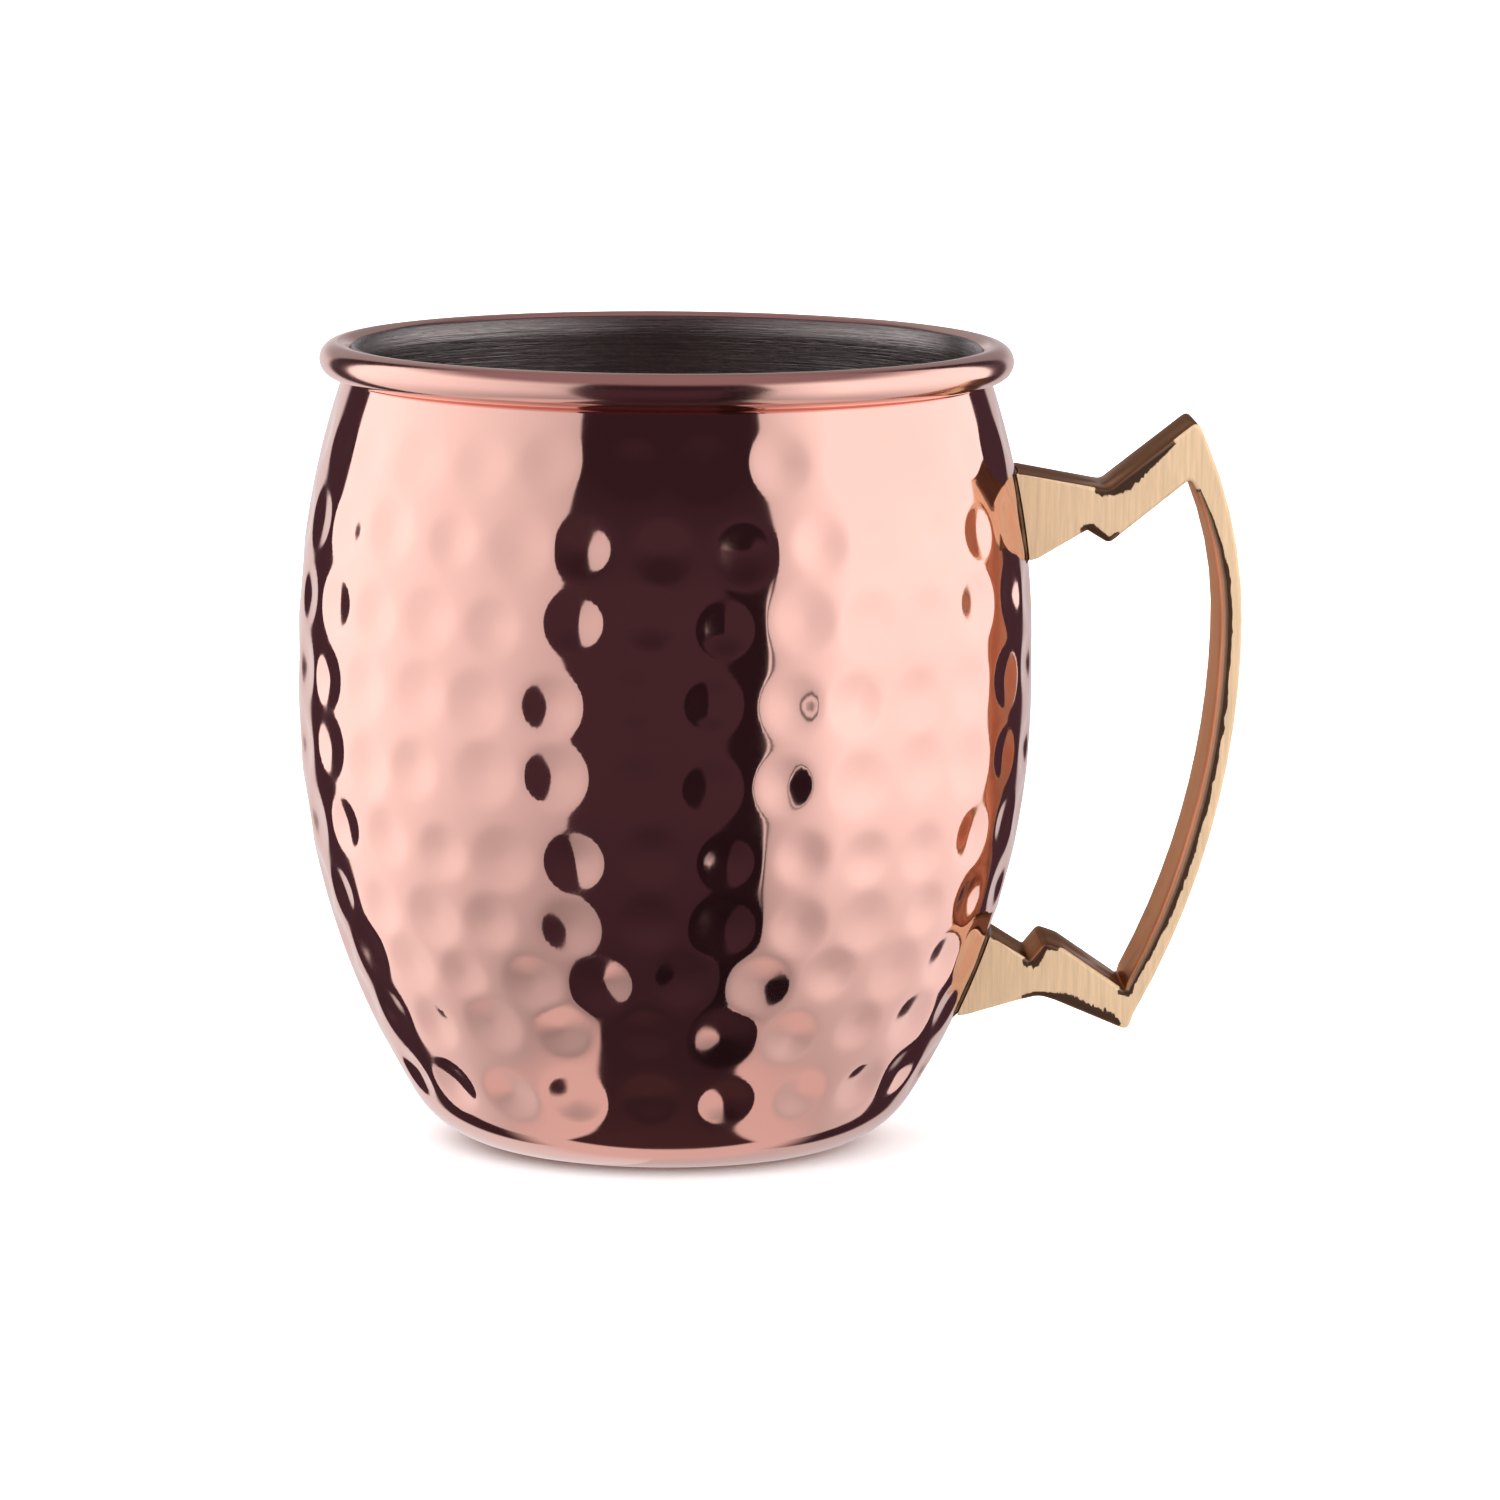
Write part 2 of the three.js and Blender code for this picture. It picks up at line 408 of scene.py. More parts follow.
def rounded(corners, step):
    """A closed outline with its corners rounded. Each corner is (x, z, radius, edge, skin).

    edge is the width of the edge beside it, and skin how much casting skin is left on it."""
    outline = []
    count = len(corners)
    for i, (x, z, radius, edge, skin) in enumerate(corners):
        here = Vector((x, z))
        if not radius:
            outline.append((here, edge, skin))
            continue
        before = Vector(corners[i - 1][:2]) - here
        after = Vector(corners[(i + 1) % count][:2]) - here
        bend = math.pi - before.angle(after)
        longest = LONGEST_BEND * min(before.length, after.length)
        tangent = min(radius * math.tan(bend / 2), longest)
        start = here + before.normalized() * tangent
        end = here + after.normalized() * tangent
        pieces = max(1, math.ceil(math.degrees(bend) / DEGREES_A_PIECE))
        for j in range(pieces + 1):
            outline.append((bend_point(start, here, end, j / pieces), edge, skin))
    dense = []
    for i, (point, edge, skin) in enumerate(outline):
        following, next_edge, next_skin = outline[(i + 1) % len(outline)]
        gap = (following - point).length
        parts = max(1, math.ceil(gap / step))
        for j in range(parts):
            t = j / parts
            edge_here = edge + (next_edge - edge) * t
            skin_here = skin + (next_skin - skin) * t
            dense.append((point.lerp(following, t), edge_here, skin_here))
    return dense


def bend_point(start, corner, end, t):
    """A point on the smooth bend from start to end, with its corner between them."""
    return (1 - t) ** 2 * start + 2 * t * (1 - t) * corner + t**2 * end


class MUG_OT_brass_handle(bpy.types.Operator):
    """Make the cast brass zigzag handle"""

    bl_idname = "mug.brass_handle"
    bl_label = "Brass handle"

    def execute(self, context):
        scene = context.scene
        handle = scene.mug_handle
        barrel = Barrel(scene.mug_body)
        piece = handle_mesh(handle, barrel)
        place(piece, "brass_handle", "cast_brass", brass_finish(scene.mug_finish))
        return {"FINISHED"}


def bow_line(handle, reach, upper, lower, top, bottom):
    """Points along one side of the bow, from the top down. upper and lower are its radii."""
    count = 16
    points = []
    for i in range(count + 1):
        z = (top + (bottom - top) * i / count) * MM
        radius = upper if z > handle.reach_height else lower
        x = reach - radius + math.sqrt(radius**2 - (z - handle.reach_height) ** 2)
        points.append((x, z))
    return points


def landing(barrel, gap, away, near):
    """Where the line from away to near comes down, a gap short of the copper."""
    away, near = Vector(away) * MM, Vector(near) * MM
    low, high = 0, 1
    halvings = 30
    for _ in range(halvings):
        middle = (low + high) / 2
        place_on_line = away.lerp(near, middle)
        if place_on_line.x > barrel.radius_at(place_on_line.y) + gap:
            low = middle
        else:
            high = middle
    return away.lerp(near, high)


def foot_corners(barrel, gap, upper_side, under_side):
    """Corners down the wall between a foot's two sides, each side given as its line to the wall."""
    top = landing(barrel, gap, *upper_side)
    bottom = landing(barrel, gap, *under_side)
    count = 8
    heights = [top.y + (bottom.y - top.y) * i / count for i in range(count + 1)]
    return [(barrel.radius_at(z) + gap, z, 0, 0, 0) for z in heights]


# Heights between which the bow's back and its inside are pairs of arcs, in millimetres.
BOW_BACK = {"top": 85.4, "bottom": 16}
BOW_INSIDE = {"top": 79.6, "bottom": 20}

# The lines that the feet's upper and under sides follow to the wall, in millimetres.
UPPER_FOOT = (((52.6, 79.45), (36, 82.4)), ((50.1, 74.6), (36, 66.5)))
LOWER_FOOT = (((43.8, 22.6), (34, 28.6)), ((42.6, 17.75), (30, 14.3)))


def bow_inside_corners(handle):
    """Corners down the inside of the bow, where the edge is rounder and the belt left some skin.

    Both come in over the first sixth of the way down, and shrink to half at the lower end."""
    reach = handle.reach - handle.bow
    lower = handle.outer_lower - handle.bow
    line = bow_line(handle, reach, handle.inner_upper, lower, **BOW_INSIDE)
    last = len(line) - 1
    extra_edge = 0.35 * MM
    corners = []
    for i, (x, z) in enumerate(line):
        down = i / last
        fade = min(1, 6 * down, 0.5 + 4 * (1 - down))
        corners.append((x, z, 0, handle.edge + extra_edge * fade, handle.bow_skin * fade))
    return corners


def handle_corners(handle, barrel):
    """The handle's side view, anticlockwise from its lower tip.

    Each corner is (x, z, radius, edge, skin). skin is the width beside the edge that the belt
    missed when the flat sides were linished."""

    def corner(x, z, radius=0.0, skin=0.0):
        return (x * MM, z * MM, radius * MM, handle.edge, skin * MM)

    back = bow_line(handle, handle.reach, handle.outer_upper, handle.outer_lower, **BOW_BACK)
    gap = handle.foot_gap
    return [
        corner(55.7, 14.0, 1.3),
        *[(x, z, 0, handle.edge, 0) for x, z in back[::-1]],
        corner(63.2, 87.75, 1.7),
        corner(60.4, 85.55),
        corner(56.6, 82.6, skin=1.0),
        corner(53.6, 80.25, skin=1.5),
        corner(52.6, 79.45, 1.8, skin=0.9),
        corner(50.6, 79.8),
        *foot_corners(barrel, gap, *UPPER_FOOT),
        corner(49.2, 74.1),
        corner(50.1, 74.6, 0.3, skin=0.8),
        corner(52.7, 73.0, 1.0, skin=0.4),
        corner(54.2, 74.2),
        corner(62.3, 80.7, 0.4),
        *bow_inside_corners(handle),
        corner(55.3, 18.9, 0.4, skin=0.6),
        corner(54.6, 19.4),
        corner(47.9, 24.0, 2.0),
        corner(45.6, 24.8, 0.9, skin=0.4),
        corner(43.8, 22.6, 0.25, skin=0.9),
        corner(42.9, 23.15),
        *foot_corners(barrel, gap, *LOWER_FOOT),
        corner(42.6, 17.75, 3),
        corner(45.0, 18.3, 3, skin=0.3),
        corner(46.9, 17.7, skin=1.2),
        corner(53.4, 14.97, skin=1.2),
    ]


# Rings round the handle's edges, as shares of the edge's width: how far in from the outline, and
# how far back from the flat side.
EDGE_RINGS = ((1, 0), (0.7, 0.05), (0.42, 0.2), (0.2, 0.43), (0.05, 0.72), (0, 1))
FLAT_SIDE = (1.02, 0)  # the ring that the flat side is filled from
ACROSS = (-0.5, 0, 0.5)  # rings between the edges, as shares of half the width
AWAY_FROM_MUG = 0.75  # a side whose normal reaches this far along X was linished too


def handle_mesh(handle, barrel):
    """The side view carried across the width, with rounded edges and feet cut to the wall.

    The brushed layer is 1 where the belt went, and from 0 down to -1 on the cast sides, the
    lower the more they face the mug. Near -1 the brass is given a painted reflection of the copper."""
    outline_step, shortest_edge = 0.55 * MM, 0.002 * MM
    outline = rounded(handle_corners(handle, barrel), outline_step)
    count = len(outline)
    outward = []
    for i in range(count):
        along = outline[(i + 1) % count][0] - outline[i - 1][0]
        outward.append(Vector((along.y, -along.x)).normalized())
    half = handle.width / 2
    body = bmesh.new()
    brushed_layer = body.verts.layers.float.new("brushed")

    def ring(side, inset_share, depth_share, past_skin=False):
        """A ring of points on one side of the handle, placed by shares of the edge's width.

        The belt reached the feet, all that lies past the skin, and edges that have no skin."""
        verts = []
        for (point, edge, skin), normal in zip(outline, outward):
            inset = inset_share * edge + (skin if past_skin else 0)
            flat = point - normal * inset
            y = side * (half - depth_share * edge)
            x = foot_x(barrel, handle, y, flat.y) if edge == 0 else flat.x
            vert = body.verts.new((x, y, flat.y))
            linished = edge == 0 or past_skin or (skin == 0 and depth_share < 1)
            vert[brushed_layer] = 1 if linished else cast_side(normal)
            verts.append(vert)
        return verts

    rings = [ring(-1, *FLAT_SIDE, past_skin=True)]
    rings += [ring(-1, inset, depth) for inset, depth in EDGE_RINGS]
    for share in ACROSS:
        rings.append(side_ring(body, barrel, handle, outline, outward, share * half))
    rings += [ring(1, inset, depth) for inset, depth in reversed(EDGE_RINGS)]
    rings.append(ring(1, *FLAT_SIDE, past_skin=True))
    for low, high in zip(rings, rings[1:]):
        for i in range(count):
            j = (i + 1) % count
            body.faces.new((low[i], low[j], high[j], high[i]))
    for ring_verts in (rings[0], rings[-1]):
        fill_side(body, ring_verts, brushed_layer)
    bmesh.ops.remove_doubles(body, verts=body.verts, dist=shortest_edge)
    bmesh.ops.dissolve_degenerate(body, edges=body.edges, dist=shortest_edge)
    return finished_mesh("cast_brass_handle", body, sharp_angle=math.radians(38))


def fill_side(body, ring, brushed_layer):
    """Fills a flat side of the handle with triangles between its ring of points."""
    inside_only, merge_distance = 1, 1e-4
    flat = [Vector((vert.co.x, vert.co.z)) / MM for vert in ring]
    border = list(range(len(ring)))
    points, _, faces, origins, _, _ = delaunay_2d_cdt(flat, [], [border], inside_only, merge_distance)
    verts = []
    for point, origin in zip(points, origins):
        if origin:
            verts.append(ring[origin[0]])
            continue
        vert = body.verts.new((point.x * MM, ring[0].co.y, point.y * MM))
        vert[brushed_layer] = 1
        verts.append(vert)
    for face in faces:
        corners = {verts[i]: None for i in face}
        if len(corners) > 2 and not body.faces.get(list(corners)):
            body.faces.new(corners)


def side_ring(body, barrel, handle, outline, outward, y):
    """A ring of the handle's full outline at a place across its width."""
    verts = []
    for (point, edge, _), normal in zip(outline, outward):
        x = foot_x(barrel, handle, y, point.y) if edge == 0 else point.x
        vert = body.verts.new((x, y, point.y))
        vert[body.verts.layers.float["brushed"]] = cast_side(normal)
        verts.append(vert)
    return verts


def cast_side(normal):
    """What the brushed layer holds on a side that faces along the normal."""
    return 1 if normal.x > AWAY_FROM_MUG else min(0, normal.x)


def foot_x(barrel, handle, y, z):
    """Where the foot stands on the copper's wall, at a place across the handle's width."""
    radius = barrel.radius_at(z) + handle.foot_gap
    return math.sqrt(radius**2 - y**2)


# Heights between which the braze shows at each foot, in millimetres.
BRAZE_HEIGHTS = {"upper": (70.6, 81.5), "lower": (15.6, 25.9)}


class MUG_OT_braze_joints(bpy.types.Operator):
    """Make the brazed joints behind the handle's feet"""

    bl_idname = "mug.braze_joints"
    bl_label = "Brazed joints"

    def execute(self, context):
        scene = context.scene
        barrel = Barrel(scene.mug_body)
        handle = scene.mug_handle
        metal = braze_finish(scene.mug_finish)
        for name, (low, high) in BRAZE_HEIGHTS.items():
            piece = braze_mesh(f"{name}_braze", barrel, handle, low * MM, high * MM)
            place(piece, f"{name}_braze_joint", "braze_metal", metal)
        return {"FINISHED"}


def braze_mesh(name, barrel, handle, low, high):
    """A low mound of alloy on the wall that runs a little past the foot's edges."""
    past_foot, sunk, rim, crown = 0.25 * MM, -0.5 * MM, -0.1 * MM, 0.5 * MM
    squareness = 12
    half = handle.width / 2 + past_foot
    sides, rises = 28, 22
    body = bmesh.new()

    def sheet(height_at):
        """A grid over the foot's place, at a height over the copper. u and v go from -1 to 1."""
        rows = []
        for i in range(rises + 1):
            row = []
            for j in range(sides + 1):
                u, v = 2 * i / rises - 1, 2 * j / sides - 1
                z = (low + high) / 2 + u * (high - low) / 2
                y = v * half
                radius = barrel.radius_at(z) + height_at(u, v)
                row.append(body.verts.new((math.sqrt(radius**2 - y**2), y, z)))
            rows.append(row)
        return rows

    def mound(u, v):
        """Flat on top, and down below the copper's face at its rim."""
        return rim + crown * math.sqrt((1 - u**squareness) * (1 - v**squareness))

    bottom = sheet(lambda u, v: sunk)
    top = sheet(mound)
    for i in range(rises):
        for j in range(sides):
            body.faces.new((top[i][j], top[i][j + 1], top[i + 1][j + 1], top[i + 1][j]))
            body.faces.new((bottom[i][j], bottom[i + 1][j], bottom[i + 1][j + 1], bottom[i][j + 1]))
    border = [(i, 0) for i in range(rises)] + [(rises, j) for j in range(sides)]
    border += [(i, sides) for i in range(rises, 0, -1)] + [(0, j) for j in range(sides, 0, -1)]
    for (a, b), (c, d) in zip(border, border[1:] + border[:1]):
        body.faces.new((bottom[a][b], bottom[c][d], top[c][d], top[a][b]))
    return finished_mesh(name, body)


# ---------------------------------------------------------------- materials


RANGE_SOCKETS = ("From Min", "From Max", "To Min", "To Max")
EVEN = (1, 1, 1)  # noise that isn't stretched


class Nodes:
    """A short way to write a node tree."""

    def __init__(self, name):
        self.material = bpy.data.materials.new(name)
        self.material.use_nodes = True
        self.tree = self.material.node_tree
        self.shader = self.tree.nodes["Principled BSDF"]
        self.place = self.add("ShaderNodeTexCoord").outputs["Object"]

    def add(self, kind, **settings):
        node = self.tree.nodes.new(kind)
        for key, value in settings.items():
            if key.startswith("in_"):
                node.inputs[key[3:].replace("_", " ")].default_value = value
            else:
                setattr(node, key, value)
        return node

    def link(self, output, node, socket):
        self.tree.links.new(output, node.inputs[socket])

    def noise(self, stretch, scale, detail=3, roughness=0.55):
        """Noise over the object. The larger a factor of stretch, the finer it is that way."""
        mapping = self.add("ShaderNodeMapping")
        mapping.inputs["Scale"].default_value = stretch
        self.link(self.place, mapping, "Vector")
        noise = self.add("ShaderNodeTexNoise", in_Scale=scale, in_Detail=detail, in_Roughness=roughness)
        self.link(mapping.outputs[0], noise, "Vector")
        return noise.outputs["Fac"]

    def spread(self, value, low, high, out_low, out_high, smooth=False):
        """Maps a value from one range to another."""
        kind = "SMOOTHSTEP" if smooth else "LINEAR"
        node = self.add("ShaderNodeMapRange", interpolation_type=kind)
        for socket, number in zip(RANGE_SOCKETS, (low, high, out_low, out_high)):
            node.inputs[socket].default_value = number
        self.link(value, node, "Value")
        return node.outputs[0]

    def mix(self, share, first, second):
        """A colour between two colours, each a colour or an output."""
        node = self.add("ShaderNodeMix", data_type="RGBA")
        self.link(share, node, 0)
        for socket, value in ((6, first), (7, second)):
            if isinstance(value, bpy.types.NodeSocket):
                self.link(value, node, socket)
            else:
                node.inputs[socket].default_value = (*value, 1)
        return node.outputs[2]

    def math(self, operation, first, second):
        """What a sum or another operation makes of two outputs."""
        node = self.add("ShaderNodeMath", operation=operation)
        self.link(first, node, 0)
        self.link(second, node, 1)
        return node.outputs[0]

    def axes(self):
        """The place's x, y and z."""
        split = self.add("ShaderNodeSeparateXYZ")
        self.link(self.place, split, 0)
        return split.outputs

    def mottled(self, pattern, low, high, rgb, darker):
        """A colour or an output that goes over to a darker shade where the pattern is high."""
        return self.mix(self.spread(pattern, low, high, 0, 1), rgb, darker)

    def bump(self, height, distance, strength):
        node = self.add("ShaderNodeBump", in_Strength=strength, in_Distance=distance)
        self.link(height, node, "Height")
        return node.outputs[0]

    def brush(self, strength, rotation):
        """Draws the reflections out, the way that rotation gives in turns about the normal."""
        tangent = self.add("ShaderNodeTangent", direction_type="RADIAL", axis="Z")
        self.link(tangent.outputs[0], self.shader, "Tangent")
        self.shader.inputs["Anisotropic"].default_value = strength
        self.shader.inputs["Anisotropic Rotation"].default_value = rotation

    def metal(self, colour, roughness, normal):
        self.shader.inputs["Metallic"].default_value = 1
        for socket, value in (("Base Color", colour), ("Roughness", roughness), ("Normal", normal)):
            self.link(value, self.shader, socket)
        return self.material


def shade(rgb, factor):
    """A colour made darker."""
    return tuple(channel * factor for channel in rgb)


def copper_finish(finish):
    """Polished copper, with faint clouds and haze. The rim's bead is duller than the wall."""
    bead_low, bead_high, bead_dullness = 92.2 * MM, 93.2 * MM, 0.085
    nodes = Nodes("polished copper")
    clouds = nodes.noise(EVEN, 38)
    colour = nodes.mottled(clouds, 0.3, 0.7, finish.copper, shade(finish.copper, 0.93))
    haze = nodes.spread(nodes.noise(EVEN, 120), 0.3, 0.75, 0.045, 0.085)
    bead = nodes.spread(nodes.axes()[2], bead_low, bead_high, 0, bead_dullness)
    roughness = nodes.math("ADD", haze, bead)
    ripple = nodes.bump(nodes.noise(EVEN, 160, 2), 0.04 * MM, 0.25)
    return nodes.metal(colour, roughness, ripple)


def steel_finish(finish):
    """Steel brushed round the mug, with cloudy streaks. Its lip has painted shade: a darker colour that
    dims its reflections.
    """
    lip_shade_low, lip_shade_high = 93.8 * MM, 95.5 * MM
    nodes = Nodes("brushed liner steel")
    nodes.brush(0.7, 0.25)
    # The wall is unrolled, and so much shorter round than it is high that the noise becomes lines.
    x, y, z = nodes.axes()
    unrolled = nodes.add("ShaderNodeCombineXYZ")
    turn = nodes.math("ARCTAN2", y, x)
    nodes.link(nodes.spread(turn, -math.pi, math.pi, 0, 0.14), unrolled, 0)
    nodes.link(nodes.spread(z, 0, 100 * MM, 0, 9), unrolled, 1)
    nodes.place = unrolled.outputs[0]
    brushing = nodes.noise((3, 1, 1), 34, 4, 0.72)
    streaks = nodes.noise((3, 1, 1), 9, 3)
    clouded = nodes.mottled(streaks, 0.35, 0.65, finish.steel, shade(finish.steel, 0.8))
    plain = nodes.mottled(brushing, 0.42, 0.66, clouded, shade(finish.steel, 0.5))
    # Painted shade: the colour darkens towards the top of the lip, to dim the lip's reflections.
    colour = nodes.mottled(z, lip_shade_low, lip_shade_high, plain, shade(finish.steel, 0.42))
    roughness = nodes.spread(brushing, 0.3, 0.7, 0.2, 0.42)
    lines = nodes.bump(brushing, 0.14 * MM, 1)
    return nodes.metal(colour, roughness, lines)


def brass_finish(finish):
    """Brass, satin where the belt went, with a ragged line to the casting skin that it left, and a
    painted reflection of the copper on the cast sides that face the mug.
    """
    nodes = Nodes("linished cast brass")
    nodes.brush(0.9, 0)
    lines = nodes.noise((1, 1, 0.05), 2600, 3, 0.65)
    clouds = nodes.noise((1, 1, 0.35), 160)
    brushed = nodes.add("ShaderNodeAttribute", attribute_name="brushed").outputs["Fac"]
    ragged = nodes.spread(nodes.noise((1, 1, 0.2), 2300, 3, 0.6), 0.3, 0.7, -0.42, 0.42)
    satin = nodes.spread(nodes.math("ADD", ragged, brushed), 0.4, 0.54, 0, 1, smooth=True)
    bright = nodes.mottled(clouds, 0.3, 0.7, finish.brass, shade(finish.brass, 0.94))
    streaked = nodes.mottled(lines, 0.35, 0.75, bright, shade(finish.brass, 0.8))
    # Painted reflection: the cast sides that face the mug go over from the casting skin to a bright
    # orange, for the copper they mirror.
    painted_reflection_share = nodes.spread(brushed, -0.95, -0.72, 1, 0)
    cast = nodes.mix(painted_reflection_share, finish.tarnish, finish.painted_copper_reflection)
    colour = nodes.mix(satin, cast, streaked)
    roughness = nodes.spread(satin, 0, 1, 0.3, 0.62)
    material = nodes.metal(colour, roughness, nodes.bump(lines, 0.02 * MM, 0.3))
    nodes.link(nodes.spread(satin, 0, 1, 1, 0.65), nodes.shader, "Metallic")
    nodes.shader.inputs["Specular Tint"].default_value = (*finish.grazing, 1)
    return material


def braze_finish(finish):
    """Dark, grainy brazing alloy."""
    nodes = Nodes("braze")
    grain = nodes.noise(EVEN, 900)
    colour = nodes.mottled(grain, 0.3, 0.7, finish.braze, shade(finish.braze, 0.6))
    roughness = nodes.spread(grain, 0.3, 0.7, 0.35, 0.5)
    return nodes.metal(colour, roughness, nodes.bump(grain, 0.1 * MM, 0.5))


def floor_finish(finish):
    """Matt white, with a very faint grain."""
    nodes = Nodes("studio floor")
    grain = nodes.noise(EVEN, 400)
    colour = nodes.mix(grain, finish.floor, shade(finish.floor, 0.985))
    nodes.link(colour, nodes.shader, "Base Color")
    nodes.shader.inputs["Roughness"].default_value = 0.7
    nodes.shader.inputs["Specular IOR Level"].default_value = 0.1
    return nodes.material


# ---------------------------------------------------------------- studio


class MUG_OT_studio(bpy.types.Operator):
    """Set up the camera, the floor and the soft light"""

    bl_idname = "mug.studio"
    bl_label = "Studio"

    def execute(self, context):
        scene = context.scene
        scene.view_settings.view_transform = "Standard"
        aim_camera(scene, scene.mug_studio)
        lay_floor(scene.mug_finish)
        light_room(scene, scene.mug_studio)
        light_pieces(scene, scene.mug_studio)
        return {"FINISHED"}


def aim_camera(scene, studio):
    """The camera, over the mug's rim and in front of it, looking a little down."""
    camera = bpy.data.objects.new("camera", bpy.data.cameras.new("camera"))
    scene.collection.objects.link(camera)
    scene.camera = camera
    camera.data.lens = studio.lens
    camera.data.sensor_width = 36
    heading = studio.swing + studio.pan
    ahead = Vector((math.sin(heading), math.cos(heading), -math.tan(studio.tilt))).normalized()
    right = ahead.cross(Vector((0, 0, 1))).normalized()
    up = right.cross(ahead)
    turned = Matrix((right, up, -ahead)).transposed() @ Matrix.Rotation(studio.roll, 3, "Z")
    across = -studio.distance * math.sin(studio.swing)
    back = -studio.distance * math.cos(studio.swing)
    stand = Vector((across, back, studio.eye_height))
    camera.matrix_world = Matrix.Translation(stand) @ turned.to_4x4()
    camera.data.clip_start = 0.05
    camera.data.clip_end = 60


def lay_floor(finish):
    """A wide floor, which isn't seen in the metal."""
    body = bmesh.new()
    bmesh.ops.create_circle(body, cap_ends=True, segments=96, radius=12)
    floor = finished_mesh("studio_floor", body)
    floor.data.materials.append(floor_finish(finish))
    floor.visible_glossy = False


class Sky:
    """The world's node tree, with what is needed to write a room as a formula."""

    def __init__(self, scene):
        world = bpy.data.worlds.new("studio")
        scene.world = world
        world.use_nodes = True
        self.tree = world.node_tree
        self.tree.nodes.clear()
        direction = self.tree.nodes.new("ShaderNodeTexCoord").outputs["Generated"]
        split = self.tree.nodes.new("ShaderNodeSeparateXYZ")
        self.tree.links.new(direction, split.inputs[0])
        x, y, z = split.outputs
        self.across, self.back = self.math("ABSOLUTE", x), y
        self.turn = self.math("DEGREES", self.math("ARCTAN2", x, self.math("MULTIPLY", y, -1)))
        self.height = self.math("DEGREES", self.math("ARCSINE", z))

    def math(self, operation, *values):
        """What an operation makes of its values, each a number or an output."""
        node = self.tree.nodes.new("ShaderNodeMath")
        node.operation = operation
        for socket, value in zip(node.inputs, values):
            if isinstance(value, bpy.types.NodeSocket):
                self.tree.links.new(value, socket)
            else:
                socket.default_value = value
        return node.outputs[0]

    def ramp(self, value, low, high, start=0, end=1, smooth=False):
        """start below low, end above high, and a ramp between them."""
        node = self.tree.nodes.new("ShaderNodeMapRange")
        node.interpolation_type = "SMOOTHSTEP" if smooth else "LINEAR"
        for socket, number in zip(RANGE_SOCKETS, (low, high, start, end)):
            node.inputs[socket].default_value = number
        self.tree.links.new(value, node.inputs["Value"])
        return node.outputs[0]

    def band(self, low, high, soft):
        """1 between two angles round the mug, 0 outside them."""
        rising = self.ramp(self.turn, low - soft, low + soft, smooth=True)
        falling = self.ramp(self.turn, high - soft, high + soft, 1, 0, smooth=True)
        return self.product(rising, falling)

    def product(self, *values):
        result = values[0]
        for value in values[1:]:
            result = self.math("MULTIPLY", result, value)
        return result

    def total(self, *values):
        result = values[0]
        for value in values[1:]:
            result = self.math("ADD", result, value)
        return result

    def shine(self, parts):
        """Adds up light of several colours, given as pairs of colour and strength."""
        output = self.tree.nodes.new("ShaderNodeOutputWorld")
        so_far = None
        for rgb, strength in parts:
            background = self.tree.nodes.new("ShaderNodeBackground")
            background.inputs["Color"].default_value = (*rgb, 1)
            self.tree.links.new(strength, background.inputs["Strength"])
            if so_far is None:
                so_far = background.outputs[0]
                continue
            both = self.tree.nodes.new("ShaderNodeAddShader")
            self.tree.links.new(so_far, both.inputs[0])
            self.tree.links.new(background.outputs[0], both.inputs[1])
            so_far = both.outputs[0]
        self.tree.links.new(so_far, output.inputs[0])


def diffuser_light(sky, below_ceiling):
    """Two large diffusers beside the mug, dimmer towards the table and towards the front."""
    right = sky.product(sky.band(32.6, 133, 0.4), sky.ramp(sky.turn, 33, 58, 0.76, 1.26))
    left = sky.product(sky.band(-132, -33.4, 0.4), sky.ramp(sky.turn, -115, -33, 1.37, 0.65))
    from_table = sky.ramp(sky.height, -66, 4, 0.36, 1, smooth=True)
    return sky.product(sky.total(left, right), from_table, below_ceiling)


def sweep_light(sky, below_ceiling):
    """The grey sweep behind the mug. Its left half is brighter, and both are dimmer higher up."""
    right = sky.ramp(sky.turn, 149, 152)
    left = sky.ramp(sky.turn, -152, -149, 1.3, 0)
    upwards = sky.ramp(sky.height, 0, 14, 0.58, 0.25, smooth=True)
    return sky.product(sky.math("MAXIMUM", right, left), upwards, below_ceiling)


def frame_light(sky):
    """The thin bright frame along the right diffuser's front edge."""
    bottom = sky.ramp(sky.height, -36, -24)
    top = sky.ramp(sky.height, 4, 8, 1, 0)
    return sky.product(sky.band(30.5, 31.6, 0.25), bottom, top)


def dark_room_light(sky):
    """What little light the room gives, least of all from a doorway in front at the right."""
    top = sky.ramp(sky.height, 5, 8, 1, 0)
    bottom = sky.ramp(sky.height, -60, -50)
    doorway = sky.product(sky.band(17, 34, 1), top, bottom)
    walls = sky.ramp(sky.height, 6, 22, 0.06, 0.034)
    towards_table = sky.ramp(sky.height, -55, -18, 0.62, 1)
    return sky.product(walls, sky.ramp(doorway, 0, 1, 1, 0.36), towards_table)


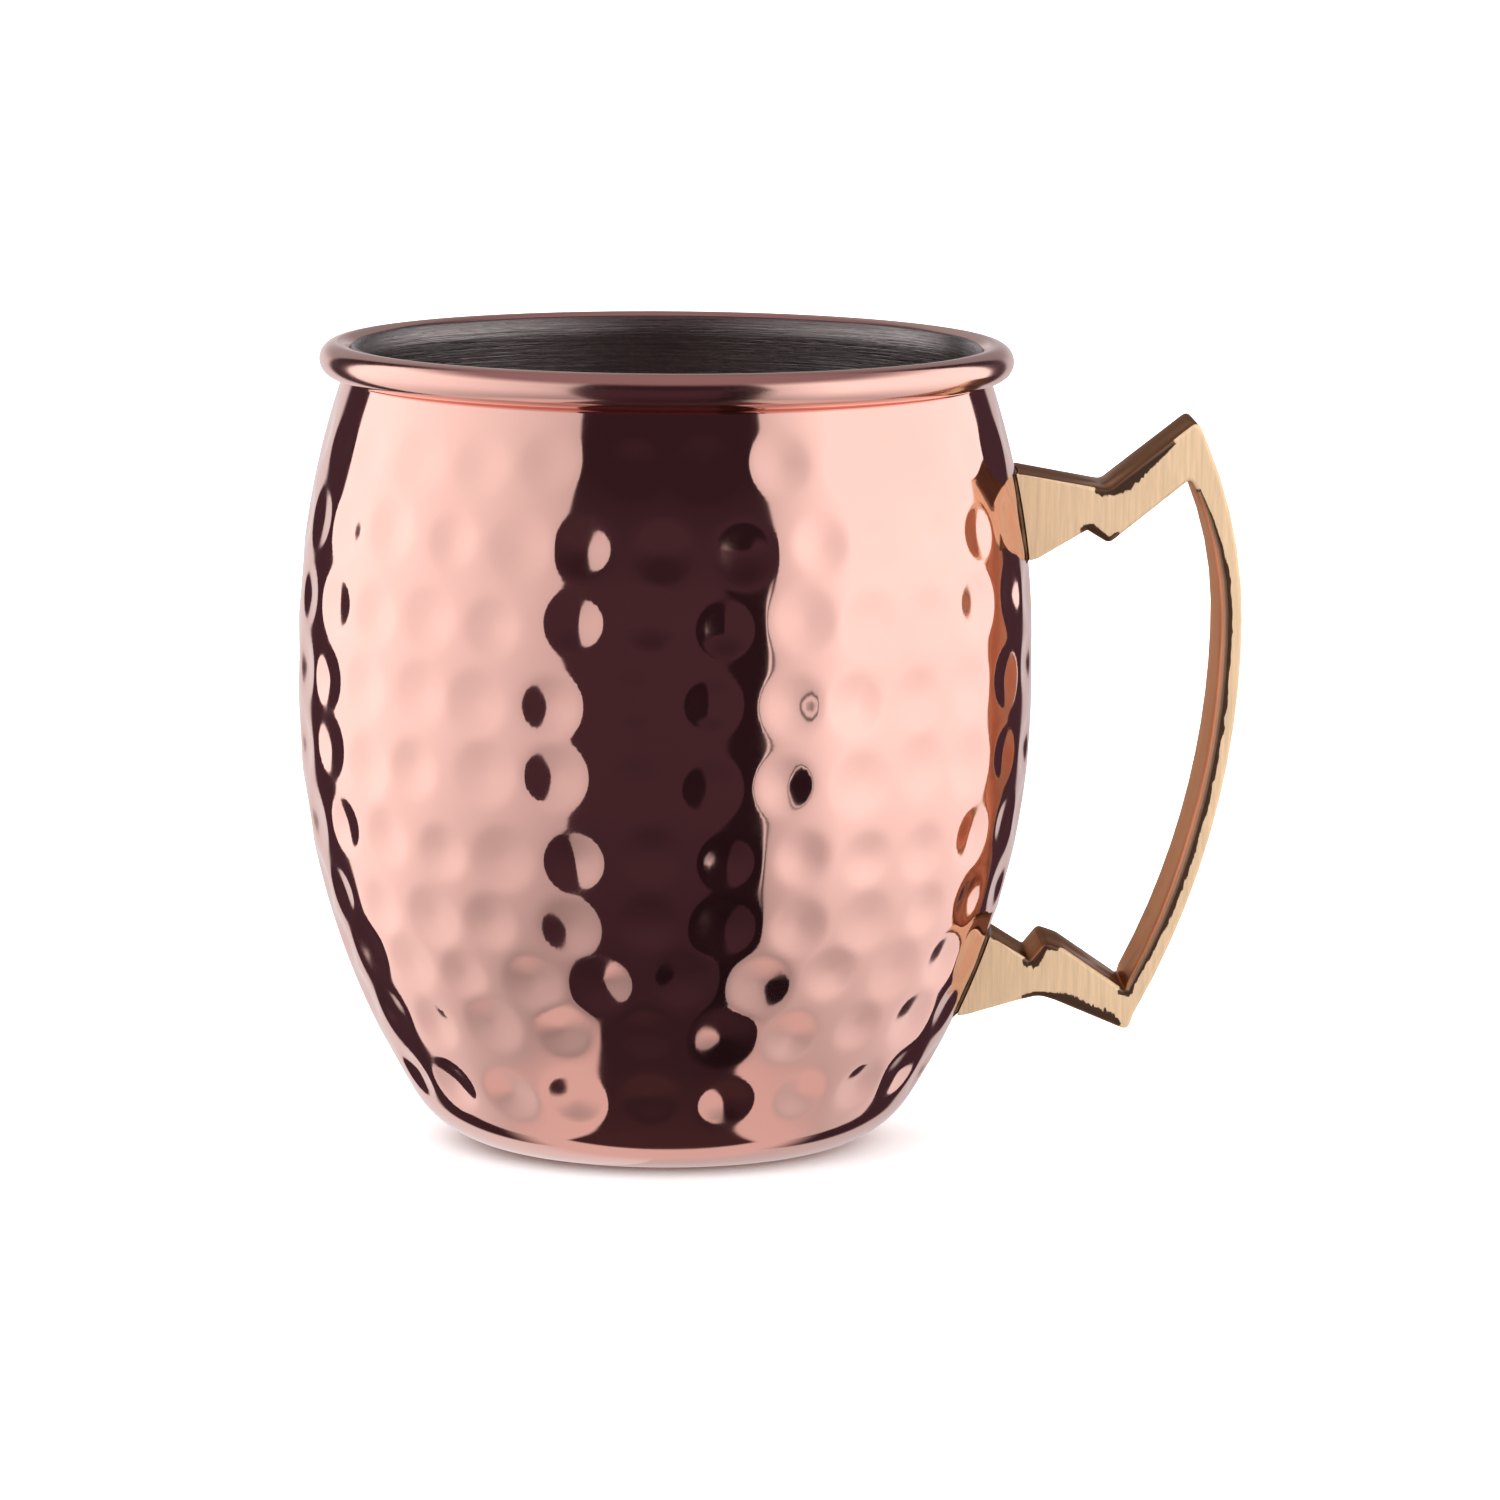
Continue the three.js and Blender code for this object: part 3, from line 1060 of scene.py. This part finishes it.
def light_room(scene, studio):
    """A dark room with two diffusers, a grey sweep and a pale table, which the metal mirrors.

    Angles are in degrees: turn goes round from straight in front of the mug towards the handle,
    and height goes up from level. The table is in painted shade right in front of the mug."""
    sky = Sky(scene)
    height = sky.height
    below_ceiling = sky.ramp(height, 30, 58, 1, 0, smooth=True)
    ceiling = sky.ramp(height, 36, 60, 0, 0.27, smooth=True)
    soft_light = sky.total(
        diffuser_light(sky, below_ceiling), sweep_light(sky, below_ceiling), frame_light(sky)
    )
    over_table = sky.ramp(height, -60, -48, smooth=True)
    on_table = sky.ramp(height, -60, -48, 0.72, 0, smooth=True)
    # Painted shade: the table is dark right in front of the mug.
    table_shade = sky.product(
        sky.ramp(sky.across, 0.32, 0.34, 1, 0),
        sky.ramp(sky.back, 0.2, 0.24, 1, 0),
        sky.ramp(height, -50, -44, 1, 0),
    )
    outside_table_shade = sky.ramp(table_shade, 0, 1, 1, 0)
    # A faint rust-coloured light from steeply under the mug.
    rust_coloured_underlight = sky.ramp(height, -75, -62, 0.02, 0)
    sky.shine(
        (
            ((1, 1, 1), sky.product(soft_light, over_table, outside_table_shade, studio.softbox)),
            ((1, 0.86, 0.83), sky.product(on_table, outside_table_shade)),
            ((1, 0.75, 0.8), ceiling),
            ((1, 0.53, 0.72), dark_room_light(sky)),
            ((1, 0.42, 0.3), rust_coloured_underlight),
        )
    )


def add_sun(scene, name, strength, spread, towards):
    """A wide soft light from far away, which isn't seen in the metal."""
    light = bpy.data.lights.new(name, "SUN")
    light.angle = math.radians(spread)
    light.energy = strength
    lamp = bpy.data.objects.new(name, light)
    lamp.location = (0, 0, 2)
    lamp.rotation_euler = Vector(towards).to_track_quat("-Z", "Y").to_euler()
    lamp.visible_glossy = False
    scene.collection.objects.link(lamp)


def light_pieces(scene, studio):
    """The lights that only dull surfaces take: one over the floor and one from the front."""
    add_sun(scene, "overhead", studio.overhead, 150, (0, 0, -1))
    add_sun(scene, "front", studio.front, 40, (-0.35, 1, -0.3))


# ---------------------------------------------------------------- panel and registration


class MUG_PT_sidebar(bpy.types.Panel):
    """Lists the mug's settings and what makes each piece"""

    bl_label = "Hammered Copper Mug"
    bl_idname = "MUG_PT_sidebar"
    bl_space_type = "VIEW_3D"
    bl_region_type = "UI"
    bl_category = "Mug"

    def draw(self, context):
        layout = self.layout
        for key, group in SETTINGS.items():
            box = layout.box()
            box.label(text=key.replace("mug_", "").title())
            for name in group.__annotations__:
                box.prop(getattr(context.scene, key), name)
        for operator in OPERATORS:
            layout.operator(operator.bl_idname)


OPERATORS = (
    MUG_OT_studio,
    MUG_OT_copper_shell,
    MUG_OT_steel_liner,
    MUG_OT_brass_handle,
    MUG_OT_braze_joints,
)
CLASSES = (*SETTINGS.values(), *OPERATORS, MUG_PT_sidebar)


def register():
    for cls in CLASSES:
        bpy.utils.register_class(cls)
    for key, group in SETTINGS.items():
        setattr(bpy.types.Scene, key, PointerProperty(type=group))


def unregister():
    for key in SETTINGS:
        delattr(bpy.types.Scene, key)
    for cls in reversed(CLASSES):
        bpy.utils.unregister_class(cls)


def main():
    register()
    bpy.ops.mug.studio()
    bpy.ops.mug.copper_shell()
    bpy.ops.mug.steel_liner()
    bpy.ops.mug.brass_handle()
    bpy.ops.mug.braze_joints()


if __name__ == "__main__":
    main()
